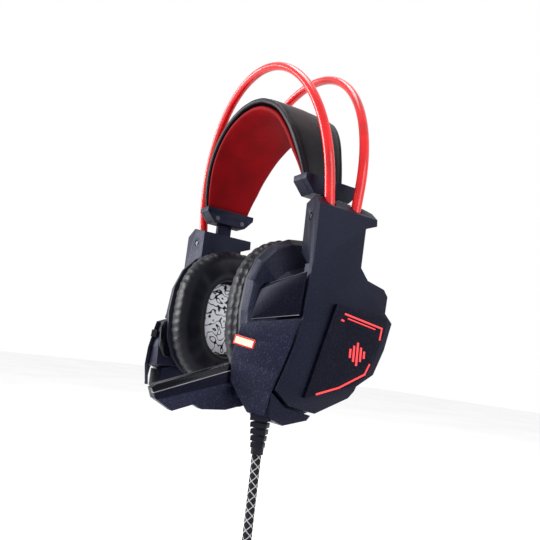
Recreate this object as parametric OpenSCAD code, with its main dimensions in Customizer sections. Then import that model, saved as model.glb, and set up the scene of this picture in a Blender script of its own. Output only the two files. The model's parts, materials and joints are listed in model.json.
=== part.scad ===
// Gaming headset: suspended headband under two splayed wires, tilting ear cups with
// angular front plates, a folding microphone boom and a braided cable.
// +X is the wearer's left, -Y the front, +Z up. The origin lies midway between the
// ear cushions, where the wearer's head is.

/* [Wires] */
// Distance from the middle to each wire foot
foot_x = 80; // [76:1:84]
// Half the distance between front and rear wire feet
foot_y = 10.3; // [9.5:0.1:11]
// Height of the front wire's crown above the wire feet
front_rise = 105; // [103:1:112]
// Extra height of the rear wire's crown
rear_extra = 7; // [0:1:10]
// Angle by which each wire leans away from the upright
wire_splay = 6.6; // [5:0.1:8]
// Front-to-back width of a wire
wire_w = 6.6; // [6:0.1:6.8]
// Radial thickness of a wire
wire_t = 5.4; // [5:0.1:6]

/* [Headband] */
// Height of the top of the suspended headband
crown_z = 147; // [140:1:148]
// Half the headband's span, measured over its outer skin
band_x = 65; // [64:0.5:66]
// Half the headband's width at the crown
band_half_w = 28; // [26:0.5:29]
// Half the headband's width at its clamps
band_end_w = 19; // [17:0.5:19]
// Thickness of the padded skin
skin_t = 5; // [4:0.5:5.5]
// Thickness of the lining pad
pad_t = 5; // [4:0.5:6]

/* [Ear cups] */
// Distance from the middle to the head side of each cushion
cushion_x = 27.5; // [26:0.5:29]
// Half the cushion's front-to-back size
cushion_y = 45; // [42:1:46]
// Half the cushion's height
cushion_z = 51; // [48:1:52]
// Radius of the loudspeaker's diaphragm frame
driver_r = 24; // [20:0.5:25]

/* [Yokes] */
// Distance from the middle to the yokes' outer face
yoke_x = 85; // [84.5:0.5:86]
// Height of the block's ridge, where the wires enter
block_z = 67; // [67:0.5:68]

/* [Microphone] */
// Thickness of the microphone paddle
boom_t = 7; // [6:0.5:7]

/* [Cable] */
// Diameter of the braided cable
cable_d = 5; // [4.5:0.1:5.5]
// Mean diameter of the stored coil
coil_d = 54; // [50:1:60]

/* [Hidden] */

black = [0.07, 0.08, 0.13];
black_soft = [0.09, 0.09, 0.14];
red = [0.85, 0.07, 0.07];
dark_red = [0.5, 0.0, 0.03];
steel = [0.7, 0.7, 0.73];
board_green = [0.1, 0.3, 0.2];
glow = [1.0, 0.5, 0.45];

slack = 0.1;                 // gap between two fitted parts of one body

// Wires: a straight leg in the block's socket, then half an ellipse
foot_z = 66;
leg_z = 11;
socket_depth = 15;
socket_r = 3.7;
wire_steps = 44;
core_r = 1.1;
lead_r = 0.7;

// Headband
band_base_z = 78;
clamp_in_x = 58.5;
clamp_out_x = 69;
clamp_split_x = 64.5;
clamp_top_z = 82;
clamp_low_z = 71;
clamp_half_w = 20.5;
clamp_foot_w = 13.5;
band_steps = 34;
stem_half_w = 6;
stem_in_x = 64;
stem_out_x = 67;
stem_end_z = 42.5;
elastic_x = 68.6;
elastic_r = 1;
tab_z = 61;
tab_h = 2.5;

// Ear cup layers, measured outward from the middle
cushion_back_x = 49.5;
baffle_back_x = 52;
housing_back_x = 72;
cup_mid_z = -3;
ear_half_y = 20;
ear_half_z = 27;
wall = 2.4;

// Yoke layers
cover_in_x = 76.8;
shell_in_x = 78.2;
yoke_wall = 2.6;
panel_t = 2;
block_in_x = 60;

// Tilt pivot between yoke and cup
tilt_x = 70.5;
tilt_pin_r = 2;
knuckle_half_y = 9;
ear_gap = 0.4;
ear_t = 3;

// Microphone pivot and paddle
mic_y = -43;
mic_z = -47;
mic_pin_r = 2.5;
mic_out_x = 60;
mic_pin_end_x = 66.5;
running_gap = 0.05;

// Cable exit under the left cup, and the stored coil below it
relief_pos = [76, -37.5];
relief_top_z = -58;
relief_end_z = -77.5;
coil_rows = 3;
coil_layers = 4;
coil_x = relief_pos[0] + 1.5 * cable_d;
coil_y = relief_pos[1] + 15;
coil_z = -178;
tail_drop = 12;
lead_bend = [
    [0, relief_end_z], [0, -90], [0, -103], [0, -116], [0, -126], [1, -132], [4, -137],
    [8, -140], [13, -142],
];
lead_route = [for (p = lead_bend) [relief_pos[0], relief_pos[1] + p[0], p[1]]];

// Side outline of the yoke as (y, z) points, anticlockwise from the front top
yoke_front_edge = [
    [-21.6, 20], [-23.1, 5.7], [-23.6, -4.5], [-27.2, -19.8], [-32.8, -35.1], [-36.4, -43.8],
];
yoke_rear_edge = [
    [-26.9, -51.4], [-9.5, -54.5], [-2.5, -51.5], [13, -44.9], [17, -41], [18.5, -38],
    [30.5, -30.5], [37.5, -15.5], [42, 0.8], [36, 6], [36.8, 16.2], [33.5, 20],
];
yoke_block_edge = [
    [20, 23.2], [14, 29.7], [15, 53.2], [23.5, 56.5], [23, 65], [9, 70], [-21, 70],
];
yoke_outline = concat([[-20.5, 33]], yoke_front_edge, yoke_rear_edge, yoke_block_edge);
cover_outline = concat([[-15, 20]], yoke_front_edge, yoke_rear_edge, [[20, 21]]);
panel_outline = [
    [-2.8, 6], [-18.7, -46.4], [13.5, -38.4], [22, -32.5], [27.3, -25], [36, -3], [36, 2.9],
];

// Front plates as rows from the bottom up: a left and a right corner in each row
upper_plate_rows = [
    [[60.5, -41.3, -7.9], [83.5, -25.8, -3.5]],
    [[60.5, -38, 9.4], [83.5, -24.8, 13]],
    [[62, -35.2, 13.1], [83, -23.8, 21]],
];
lower_plate_rows = [
    [[72.5, -44.5, -57.2], [82.5, -41, -57.2]],
    [[62.5, -50.8, -42.5], [83.5, -38.9, -45.2]],
    [[60.5, -51, -30], [83.5, -34.9, -35.5]],
    [[60.5, -49.2, -20], [83.5, -29.3, -20]],
    [[60.5, -47.2, -11], [83.5, -25.8, -5]],
];
plate_in_t = 2.6;
plate_edge_t = 1.3;
carrier_out_x = 72;
carrier_back_y = -24;

// Cup housing stations: x, front, rear, top and bottom reach from the cup's middle
housing_stations = [
    [52, 43.5, 43.5, 49, 49.5], [57, 42, 42, 45, 49.3], [66, 37, 37, 30, 47.3],
    [72, 33, 33, 24.5, 44],
];
housing_points = 20;
oval_power = 2.4;

// Microphone paddle as (y, z) points, anticlockwise from its root's top
boom_outline = [
    [-49, -33], [-90.5, -47.5], [-93, -49.5], [-90.9, -54.5], [-80.3, -60.3],
    [-68.5, -56.4], [-63.6, -58.6], [-50, -58], [-43, -56], [-40, -50], [-42, -39],
];
boom_root_r = 9;

// ---------------------------------------------------------------- functions

function unit(v) = v / norm(v);
function signed_power(v, e) = sign(v) * pow(abs(v), e);
function next_i(i, n) = (i + 1) % n;

// A polygon's points moved inward by d, for points listed anticlockwise
function inset(pts, d) = [
    for (i = [0:len(pts) - 1])
        let (
            n = len(pts),
            a = unit(pts[i] - pts[(i + n - 1) % n]),
            b = unit(pts[next_i(i, n)] - pts[i]),
            m = [-a[1] - b[1], a[0] + b[0]]
        )
        pts[i] + m * (2 * d / (m * m))
];

// Rings of points joined into a closed skin; each ring runs anticlockwise
// about the direction from the first ring to the last
function side_faces(rings, sides, closed) = [
    for (i = [0:rings - (closed ? 1 : 2)], k = [0:sides - 1])
        let (j = (i + 1) % rings, m = next_i(k, sides))
        each [
            [i * sides + k, j * sides + k, j * sides + m],
            [i * sides + k, j * sides + m, i * sides + m],
        ]
];
module skin(rings, closed = false) {
    count = len(rings);
    sides = len(rings[0]);
    caps = closed ? [] : [
        [for (k = [0:sides - 1]) k],
        [for (k = [sides - 1:-1:0]) (count - 1) * sides + k],
    ];
    polyhedron(
        points = [for (r = rings) each r],
        faces = concat(side_faces(count, sides, closed), caps),
        convexity = 8
    );
}

// Wire arch: point and outward normal at step i, in the leaning plane
function wire_flat(i, rise) =
    i < 2 ? [foot_x, -socket_depth + 0.3 + i * (leg_z + socket_depth - 0.3) / 2]
    : i > wire_steps - 2 ? [-foot_x, -socket_depth + 0.3
        + (wire_steps - i) * (leg_z + socket_depth - 0.3) / 2]
    : let (a = 180 * (i - 2) / (wire_steps - 4))
        [foot_x * cos(a), leg_z + (rise - leg_z) * sin(a)];
function wire_normal(i, rise) =
    i < 2 ? [1, 0]
    : i > wire_steps - 2 ? [-1, 0]
    : let (a = 180 * (i - 2) / (wire_steps - 4))
        unit([cos(a) / foot_x, sin(a) / (rise - leg_z)]);
function wire_rise(side) = front_rise + (side > 0 ? rear_extra : 0);
// side is -1 for the front wire and 1 for the rear wire
function wire_place(u, v, side) = [
    u, side * (foot_y + v * sin(wire_splay)), foot_z + v * cos(wire_splay)
];
function wire_ring(i, side, rn, rb, db, sides) =
    let (
        rise = wire_rise(side),
        p = wire_flat(i, rise),
        n = wire_normal(i, rise),
        across = [0, cos(wire_splay), -side * sin(wire_splay)],
        out = [n[0], side * n[1] * sin(wire_splay), n[1] * cos(wire_splay)]
    )
    [for (k = [0:sides - 1])
        wire_place(p[0], p[1], side)
            + out * rn * cos(360 * k / sides)
            + across * (db + rb * sin(360 * k / sides))];
module wire_tube(side, rn, rb, db, sides) {
    skin([for (i = [0:wire_steps]) wire_ring(i, side, rn, rb, db, sides)]);
}

// Headband arch at angle a: point on the outer skin, outward normal and half width
function band_point(a) = [band_x * cos(a), band_base_z + (crown_z - band_base_z) * sin(a)];
function band_normal(a) = unit([cos(a) / band_x, sin(a) / (crown_z - band_base_z)]);
function band_free(a) = max(0, sin(a) - 0.06);
function band_front(a) =
    -band_end_w - (band_half_w - band_end_w) * (1 - pow(1 - band_free(a), 2.2));
// The soft band is drawn in behind the left clamp, which carries the cable
function band_rear(a) = a < 90
    ? 10.5 + (band_half_w - 10.5) * pow(sin(a), 2.2)
    : 17.5 + (band_half_w - 17.5) * sin(a);
function band_taper(a) = min(1, 0.55 + 1.6 * band_free(a));
function band_angle(i) = 0.8 + 178.4 * i / band_steps;
// Depths are measured inward from the outer skin, at both edges and in the middle
function band_ring(i, top, low, edge) =
    let (
        a = band_angle(i),
        p = band_point(a),
        n = band_normal(a),
        t = band_taper(a),
        f = band_front(a) + edge,
        w = band_rear(a) - edge,
        section = [
            [-top * t - 0.8, f], [-top * t, f + 2.5], [-top * t, w - 2.5],
            [-top * t - 0.8, w], [-low * t + 1, w], [-low * t, w - 3],
            [-low * t, f + 3], [-low * t + 1, f]
        ]
    )
    [for (s = section) [p[0] + n[0] * s[0], s[1], p[1] + n[1] * s[0]]];

// Oval outline of the cup around its middle, for one station
function cup_oval(station, inward) = [
    for (k = [0:housing_points - 1])
        let (
            a = 360 * k / housing_points,
            c = signed_power(cos(a), 2 / oval_power),
            s = signed_power(sin(a), 2 / oval_power),
            ry = (c > 0 ? station[2] : station[1]) - inward,
            rz = (s > 0 ? station[3] : station[4]) - inward
        )
        [station[0], ry * c, cup_mid_z + rz * s]
];

// A point between the left and right corners of a plate row, at the given x
function at_x(row, x) = row[0] + (row[1] - row[0]) * (x - row[0][0]) / (row[1][0] - row[0][0]);
function plate_ring(row) = [
    row[0], row[1], row[1] + [0, plate_edge_t, 0], row[0] + [0, plate_in_t, 0]
];

// ---------------------------------------------------------------- helpers

// A (y, z) outline made solid between two x positions
module side_slab(pts, x0, x1) {
    translate([x0, 0, 0]) rotate([90, 0, 90]) linear_extrude(x1 - x0) polygon(pts);
}
// A cylinder along X
module x_cylinder(x0, x1, y, z, r) {
    translate([x0, y, z]) rotate([0, 90, 0]) cylinder(h = x1 - x0, r = r, $fn = 40);
}
// A box given by two corners
module block(lo, hi) {
    translate(lo) cube(hi - lo);
}
// The same shape on the wearer's left (side 1) or right (side -1)
module on_side(side) {
    if (side > 0) children();
    else mirror([1, 0, 0]) children();
}
// An oval disc around the cup's middle
module oval_disc(x0, x1, ry, rz) {
    skin([cup_oval([x0, ry, ry, rz, rz], 0), cup_oval([x1, ry, ry, rz, rz], 0)]);
}
// A straight strip of width w from a to b, in the panel's (y, z) plane
module strip(a, b, w) {
    d = b - a;
    translate(a) rotate(atan2(d[1], d[0])) translate([-w / 2, -w / 2]) square([norm(d) + w, w]);
}

// ---------------------------------------------------------------- wires

module wire_sheath(side) {
    color(red) difference() {
        wire_tube(side, wire_t / 2, wire_w / 2, 0, 12);
        wire_bore(side);
    }
}
// The sheath's oval bore runs a little past both of its ends
module wire_bore(side) {
    skin(concat(
        [[for (p = wire_ring(0, side, 1.6, 2.4, 0, 8)) p - [0, 0, 1]]],
        [for (i = [1:wire_steps - 1]) wire_ring(i, side, 1.6, 2.4, 0, 8)],
        [[for (p = wire_ring(wire_steps, side, 1.6, 2.4, 0, 8)) p - [0, 0, 1]]]
    ));
}
module front_wire_sheath() { wire_sheath(-1); }
module rear_wire_sheath() { wire_sheath(1); }
module front_wire_core() { color(steel) wire_tube(-1, core_r, core_r, -0.9, 8); }
module rear_wire_core() { color(steel) wire_tube(1, core_r, core_r, -0.9, 8); }
module crossover_lead() { color(black) wire_tube(1, lead_r, lead_r, 1.3, 6); }

// ---------------------------------------------------------------- yokes

// Front view of the yoke as (x, z) points: a block above a thin plate
yoke_profile = [
    [block_in_x, 44.5], [66, 35], [shell_in_x, 25.5], [shell_in_x, -70],
    [yoke_x, -70], [yoke_x, 60.5], [78, block_z], [block_in_x, 63],
];
facet_out = [yoke_x, -20.5];
facet_in = [66, -16];
facet_screw_x = 74;
facet_angle = atan2(facet_in[1] - facet_out[1], facet_in[0] - facet_out[0]) - 180;

module yoke_blank() {
    intersection() {
        side_slab(yoke_outline, block_in_x, yoke_x);
        rotate([90, 0, 0]) translate([0, 0, -60]) linear_extrude(120) polygon(yoke_profile);
    }
}
// Removes the corner in front of the block's slanted front facet
module facet_cut() {
    translate([0, 0, 26]) linear_extrude(60) polygon([
        [40, -60], [yoke_x + 1, -60], [yoke_x + 1, facet_out[1]], facet_out, facet_in,
        [block_in_x, -10], [40, -10],
    ]);
}
module wire_sockets() {
    for (s = [-1, 1])
        translate([foot_x, s * foot_y, foot_z]) rotate([-s * wire_splay, 0, 0])
            translate([0, 0, -socket_depth]) cylinder(h = 30, r = socket_r, $fn = 40);
}
module stem_slot() {
    block([stem_in_x - 0.3, -stem_half_w - 0.3, stem_end_z - 1.5],
        [stem_out_x + 0.3, stem_half_w + 0.3, 80]);
    block([stem_out_x, -2.8, stem_end_z - 1.5], [elastic_x + 1.5, 2.8, 80]);
}
// The screw that grips the front wire, in a counterbored hole in the front facet
module facet_screw(r, head_r, depth) {
    translate([facet_screw_x, -17.9, 55]) rotate([0, 0, facet_angle]) rotate([-90, 0, 0]) {
        translate([0, 0, -6]) cylinder(h = 8.5, r = head_r, $fn = 32);
        cylinder(h = depth, r = r, $fn = 32);
    }
}
module cover_screw_places() {
    for (p = [[-18, 8], [-24, -34], [29, 8], [17, -33]])
        translate([0, p[0], p[1]]) children();
}
module yoke_shell(side) {
    color(black) on_side(side) difference() {
        yoke_blank();
        facet_cut();
        wire_sockets();
        stem_slot();
        facet_screw(1.5, 2.4, 4.6);
        difference() {
            side_slab(inset(cover_outline, yoke_wall), shell_in_x - 1, yoke_x - yoke_wall);
            cover_screw_places() x_cylinder(shell_in_x - 2, yoke_x, 0, 0, 3.2);
        }
        side_slab(inset(panel_outline, 3), shell_in_x, yoke_x + 1);
        cover_screw_places() x_cylinder(shell_in_x - 2, shell_in_x + 4, 0, 0, 1.3);
    }
}
module left_yoke_shell() { yoke_shell(1); }
module right_yoke_shell() { yoke_shell(-1); }

// Inner cover with the two ears that carry the tilt pin
module yoke_cover(side) {
    color(black) on_side(side) difference() {
        union() {
            side_slab(inset(cover_outline, 0.4), cover_in_x, shell_in_x - slack);
            for (s = [-1, 1]) cover_ear(s);
        }
        translate([tilt_x, 0, 0]) rotate([90, 0, 0])
            cylinder(h = 40, r = tilt_pin_r + running_gap, center = true, $fn = 40);
        cover_screw_places() x_cylinder(cover_in_x - 1, shell_in_x + 1, 0, 0, 1.35);
    }
}
module cover_ear(s) {
    y0 = s > 0 ? knuckle_half_y + ear_gap : -knuckle_half_y - ear_gap - ear_t;
    block([tilt_x, y0, -4.5], [cover_in_x + 0.5, y0 + ear_t, 4.5]);
    translate([tilt_x, y0, 0]) rotate([-90, 0, 0]) cylinder(h = ear_t, r = 4.5, $fn = 40);
}
module left_yoke_cover() { yoke_cover(1); }
module right_yoke_cover() { yoke_cover(-1); }

module cup_tilt_pins() {
    color(steel) for (side = [-1, 1]) translate([side * tilt_x, 0, 0]) rotate([90, 0, 0])
        cylinder(h = 2 * (knuckle_half_y + ear_gap + ear_t), r = tilt_pin_r, center = true, $fn = 40);
}

// Light shapes on the side panel, in its (y, z) plane
module accent_shapes(w) {
    strip([3.8, 1.3], [32.4, -3.3], w);
    strip([32.4, -3.3], [31.4, -9.8], w);
    strip([6, -1], [27, -4.4], w * 0.6);
    strip([1.6, -2.4], [2.8, -2.6], w);
    strip([-11, -44], [4, -39.5], w);
    strip([4, -39.5], [22, -30.8], w);
    strip([22, -30.8], [25, -25], w);
}
// Five level bars, a plain mark
bar_heights = [5, 9, 13, 8, 4];
bar_pitch = 2.6;
module emblem_shapes(w) {
    for (i = [0:len(bar_heights) - 1])
        translate([15 + (i - 2) * bar_pitch, -20])
            square([w, bar_heights[i]], center = true);
}
module through_panel(x0, x1) {
    translate([x0, 0, 0]) rotate([90, 0, 90]) linear_extrude(x1 - x0) children();
}
module side_panel(side) {
    color(black) on_side(side) difference() {
        side_slab(panel_outline, yoke_x + slack, yoke_x + panel_t);
        through_panel(yoke_x - 1, yoke_x + panel_t + 1) accent_shapes(1.1);
        through_panel(yoke_x - 1, yoke_x + panel_t + 1) emblem_shapes(1.5);
    }
}
module left_side_panel() { side_panel(1); }
module right_side_panel() { side_panel(-1); }
module accent_lights(side) {
    color(glow) on_side(side)
        through_panel(yoke_x + slack, yoke_x + panel_t + 0.2) accent_shapes(0.9);
}
module left_accent_lights() { accent_lights(1); }
module right_accent_lights() { accent_lights(-1); }
module emblem_light(side) {
    color(glow) on_side(side)
        through_panel(yoke_x + slack, yoke_x + panel_t + 0.2) emblem_shapes(1.3);
}
module left_emblem_light() { emblem_light(1); }
module right_emblem_light() { emblem_light(-1); }
module panel_board(side) {
    color(board_green) on_side(side) {
        block([80, -4, -28.5], [81.2, 26, -6]);
        for (p = [[2, -12], [14, -12], [6, -25], [18, -21]])
            block([81.2, p[0], p[1]], [82, p[0] + 3.5, p[1] + 2.8]);
    }
}
module left_panel_board() { panel_board(1); }
module right_panel_board() { panel_board(-1); }

module yoke_screws() {
    color(steel) for (side = [-1, 1]) on_side(side) {
        translate([facet_screw_x, -17.9, 55]) rotate([0, 0, facet_angle]) rotate([-90, 0, 0]) {
            translate([0, 0, 0.8]) cylinder(h = 1.6, r = 2.3, $fn = 32);
            cylinder(h = 4.5, r = 1.4, $fn = 32);
        }
        cover_screw_places() {
            x_cylinder(cover_in_x - 0.9, cover_in_x, 0, 0, 2.2);
            x_cylinder(cover_in_x - 0.1, shell_in_x + 3.8, 0, 0, 1.2);
        }
    }
}

// ---------------------------------------------------------------- headband

module headband_skin() {
    color(black_soft) skin([for (i = [0:band_steps]) band_ring(i, 0, skin_t, 0)]);
}
module headband_pad() {
    color(dark_red) skin([
        for (i = [0:band_steps]) band_ring(i, skin_t + slack, skin_t + pad_t, 1.2)
    ]);
}
clamp_outline = [
    [-clamp_half_w, clamp_top_z], [-clamp_half_w, clamp_top_z - 3.5],
    [-clamp_foot_w, clamp_low_z], [clamp_foot_w, clamp_low_z],
    [clamp_half_w, clamp_top_z - 3.5], [clamp_half_w, clamp_top_z],
];
// Room for the end of the headband between the two clamp halves
module band_pocket() {
    block([clamp_in_x, -clamp_half_w + 1.2, band_base_z + 0.3],
        [band_x + 1.5, clamp_half_w - 1.2, clamp_top_z + 1]);
}
module clamp_screw_places() {
    for (y = [-11, 11]) translate([0, y, 74.5]) children();
}
module clamp_inner(side) {
    color(black) on_side(side) difference() {
        union() {
            side_slab(clamp_outline, clamp_in_x - 2.5, clamp_split_x);
            block([stem_in_x, -stem_half_w, stem_end_z],
                [stem_out_x, stem_half_w, clamp_low_z + 3]);
            block([stem_out_x - 0.5, -2.5, tab_z], [elastic_x + 1.2, 2.5, tab_z + tab_h]);
        }
        band_pocket();
        clamp_screw_places() {
            x_cylinder(clamp_in_x - 4, clamp_in_x - 1.5, 0, 0, 1.9);
            x_cylinder(clamp_in_x - 3, clamp_split_x + 1, 0, 0, 1.1);
        }
    }
}
module left_clamp_inner() { clamp_inner(1); }
module right_clamp_inner() { clamp_inner(-1); }
module clamp_outer(side) {
    color(black) on_side(side) difference() {
        side_slab(clamp_outline, clamp_split_x + slack, clamp_out_x);
        band_pocket();
        block([60, -stem_half_w - slack, 60],
            [stem_out_x + slack, stem_half_w + slack, clamp_low_z + 3 + slack]);
        clamp_screw_places() x_cylinder(clamp_split_x - 1, clamp_out_x - 1, 0, 0, 1.1);
    }
}
module left_clamp_outer() { clamp_outer(1); }
module right_clamp_outer() { clamp_outer(-1); }
module clamp_screws() {
    color(steel) for (side = [-1, 1]) on_side(side) clamp_screw_places() {
        x_cylinder(clamp_in_x - 2.4, clamp_in_x - 1.5, 0, 0, 1.8);
        x_cylinder(clamp_in_x - 1.6, clamp_out_x - 1.2, 0, 0, 1);
    }
}
module return_elastics() {
    color(black_soft) for (side = [-1, 1]) on_side(side)
        translate([elastic_x, 0, stem_end_z - 1.4])
            cylinder(h = tab_z - stem_end_z + 1.4, r = elastic_r, $fn = 24);
}

// ---------------------------------------------------------------- ear cups

module housing_body(has_mic) {
    difference() {
        union() {
            difference() {
                skin([for (s = housing_stations) cup_oval(s, 0)]);
                housing_hollow();
            }
            intersection() {
                skin([for (s = housing_stations) cup_oval(s, 0)]);
                baffle_screw_places() x_cylinder(baffle_back_x, 66, 0, 0, 3);
            }
            plate_carrier(upper_plate_rows, 53.5);
            plate_carrier([lower_plate_rows[3], lower_plate_rows[4]], 53.5);
            plate_carrier([for (i = [1:3]) lower_plate_rows[i]], has_mic ? 61 : 53.5);
            if (has_mic) {
                cable_neck();
                mic_boss();
            }
            chin();
            block([62, -16.5, -10.5], [housing_back_x, 16.5, 10.5]);
        }
        block([64, -15, -9], [housing_back_x + 1, 15, 9]);
        if (has_mic)
            x_cylinder(mic_out_x, mic_pin_end_x + 0.5, mic_y, mic_z, mic_pin_r + running_gap);
        baffle_screw_places() x_cylinder(baffle_back_x - 1, 56.5, 0, 0, 1.25);
        light_window_shape(0.15);
        block([55.5, -41.5, -23], [66, -38.3, -13.5]);
        plate_room(upper_plate_rows);
        plate_room(lower_plate_rows);
        if (has_mic) relief_room();
        else side_slab(inset(inlay_outline, -0.15), 51, 53.5);
    }
    tilt_knuckle();
}
module housing_hollow() {
    first = housing_stations[0];
    last = len(housing_stations) - 1;
    skin(concat(
        [cup_oval([first[0] - 1, first[1], first[2], first[3], first[4]], wall)],
        [for (i = [0:last]) let (s = housing_stations[i])
            cup_oval([s[0] - (i == last ? wall : 0), s[1], s[2], s[3], s[4]], wall)]
    ));
}
// Lug at the lower front of the left cup that holds the microphone's pin
module mic_boss() {
    x_cylinder(mic_out_x + 0.4, 65.4, mic_y, mic_z, 5);
    block([62, -45.8, -52], [72, -30, -40]);
}
module tilt_knuckle() {
    difference() {
        union() {
            block([63.9, -knuckle_half_y, -4], [tilt_x, knuckle_half_y, 4]);
            translate([tilt_x, 0, 0]) rotate([90, 0, 0])
                cylinder(h = 2 * knuckle_half_y, r = 4, center = true, $fn = 40);
        }
        translate([tilt_x, 0, 0]) rotate([90, 0, 0])
            cylinder(h = 30, r = tilt_pin_r + running_gap, center = true, $fn = 40);
    }
}
// Solid behind a front plate, from the inner edge at x_in to the housing
module plate_carrier(rows, x_in) {
    gap = plate_in_t + 2 * slack;
    skin([
        for (row = rows)
            let (
                l = at_x(row, max(row[0][0], x_in)),
                r = at_x(row, carrier_out_x),
                e = at_x(row, x_in)
            )
            [
                [x_in, l[1] + gap + (l[0] - x_in) * 0.3, e[2]],
                [l[0] + 0.1, l[1] + gap, at_x(row, l[0] + 0.1)[2]],
                [carrier_out_x, r[1] + gap, r[2]],
                [carrier_out_x, carrier_back_y, r[2]],
                [x_in, carrier_back_y, e[2]],
            ]
    ]);
}
// Space that a front plate takes, and everything in front of it
module plate_room(rows) {
    last = len(rows) - 1;
    skin([for (i = [0:last])
        let (
            l = rows[i][0] + [-slack, 0, i == 0 ? -slack : i == last ? slack : 0],
            r = rows[i][1] + [slack, 0, i == 0 ? -slack : i == last ? slack : 0]
        )
        [
            l - [0, 20, 0], r - [0, 20, 0],
            r + [0, plate_edge_t + slack, 0], l + [0, plate_in_t + slack, 0],
        ]
    ]);
}
// Lower front of the cup, which runs under the yoke's lower edge
module chin() {
    side_slab([
        [-37.4, -45.9], [-37.4, -58.2], [-28, -61.9], [-12.5, -58.6], [-10.2, -55.9],
        [-27.3, -52.6], [-36.8, -45.3],
    ], 71, 82.5);
    side_slab([
        [-37.4, -44], [-37.4, -58.2], [-28, -61.9], [-12.5, -58.6], [-1, -54.5],
        [3, -46], [-16, -40],
    ], 62, 71.1);
}
module cable_neck() {
    translate([relief_pos[0], relief_pos[1], relief_top_z]) rotate([0, 0, 45])
        translate([-4.9, -4.9, 0]) cube([9.8, 9.8, 8]);
}
module left_cup_housing() { color(black) housing_body(true); }
module right_cup_housing() { color(black) on_side(-1) housing_body(false); }

module baffle(side) {
    color(black) on_side(side) difference() {
        oval_disc(cushion_back_x, baffle_back_x - slack, 43.5, 49);
        x_cylinder(cushion_back_x - 1, baffle_back_x + 1, 0, cup_mid_z, driver_r + 0.5);
        baffle_screw_places() x_cylinder(cushion_back_x - 1, baffle_back_x + 1, 0, 0, 1.3);
    }
}
module baffle_screw_places() {
    for (p = [[-31, 26], [31, 26], [-31, -31], [31, -31]])
        translate([0, p[0], p[1]]) children();
}
module left_baffle() { baffle(1); }
module right_baffle() { baffle(-1); }
module baffle_screws(side) {
    color(steel) on_side(side) baffle_screw_places()
        x_cylinder(cushion_back_x + 0.2, baffle_back_x + 4, 0, 0, 1.2);
}
module left_baffle_screws() { baffle_screws(1); }
module right_baffle_screws() { baffle_screws(-1); }

module driver(side) {
    color(steel) on_side(side) {
        x_cylinder(50, 56, 0, cup_mid_z, driver_r);
        x_cylinder(baffle_back_x, baffle_back_x + 1.2, 0, cup_mid_z, driver_r + 3);
        x_cylinder(56, 61, 0, cup_mid_z, driver_r * 0.6);
    }
}
module left_driver() { driver(1); }
module right_driver() { driver(-1); }
module driver_cloth(side) {
    color([0.85, 0.85, 0.87]) on_side(side)
        oval_disc(cushion_back_x - 0.9, cushion_back_x - slack, ear_half_y - 0.6, ear_half_z - 0.6);
}
module left_driver_cloth() { driver_cloth(1); }
module right_driver_cloth() { driver_cloth(-1); }

// Ring of rounded section around the ear, flat towards the head
cushion_steps = 40;
function cushion_ring(i) =
    let (
        a = 360 * i / cushion_steps,
        c = signed_power(cos(a), 2 / oval_power),
        s = signed_power(sin(a), 2 / oval_power),
        hole = [ear_half_y * c, ear_half_z * s],
        rim = [cushion_y * c, cushion_z * s],
        section = [
            [1, 0.25], [1, 0.7], [0.93, 0.93], [0.75, 1], [0.3, 1], [0.08, 0.9],
            [0, 0.6], [0, 0.15], [0.2, 0], [0.8, 0]
        ]
    )
    [for (q = section)
        let (p = hole + (rim - hole) * q[0], depth = cushion_back_x - cushion_x)
        [cushion_back_x - slack - (depth - slack) * q[1], p[0], cup_mid_z + p[1]]];
module ear_cushion(side) {
    color(black_soft) on_side(side)
        skin([for (i = [0:cushion_steps - 1]) cushion_ring(i)], closed = true);
}
module left_ear_cushion() { ear_cushion(1); }
module right_ear_cushion() { ear_cushion(-1); }

module front_plate(rows) {
    skin([for (row = rows) plate_ring(row)]);
}
module left_upper_plate() { color(black) front_plate(upper_plate_rows); }
module right_upper_plate() { color(black) on_side(-1) front_plate(upper_plate_rows); }
module lower_plate(side) {
    color(black) on_side(side) difference() {
        front_plate(lower_plate_rows);
        light_window_shape(0.1);
    }
}
module relief_room() {
    translate([relief_pos[0], relief_pos[1], relief_end_z]) rotate([0, 0, 45])
        translate([-5.1, -5.1, 0]) cube([10.2, 10.2, relief_top_z - relief_end_z]);
}
module left_lower_plate() { lower_plate(1); }
module right_lower_plate() { lower_plate(-1); }

// A small window that wraps round the lower plate's inner edge
module light_window_shape(grow) {
    translate([59.6, -50.6, -22.3]) rotate([0, 11, 41])
        translate([-grow, -grow, -grow]) cube([12 + 2 * grow, 4.2 + 2 * grow, 5.2 + 2 * grow]);
}
module light_window(side) {
    color([1, 0.95, 0.8]) on_side(side) light_window_shape(0);
}
module left_light_window() { light_window(1); }
module right_light_window() { light_window(-1); }
module light_board(side) {
    color(board_green) on_side(side) block([56, -39.7, -22.6], [65.5, -38.5, -14]);
}
module left_light_board() { light_board(1); }
module right_light_board() { light_board(-1); }

// Blanking inlay on the cup that has no microphone
inlay_outline = [
    [-44.5, -10.5], [-46.5, -15], [-45.5, -29], [-42, -35], [-37.5, -36], [-35.5, -32],
    [-36.5, -14], [-39.5, -8.5],
];
module right_front_inlay() {
    color(black_soft) on_side(-1) side_slab(inlay_outline, 52.1, 53.4);
}

// ---------------------------------------------------------------- microphone

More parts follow.
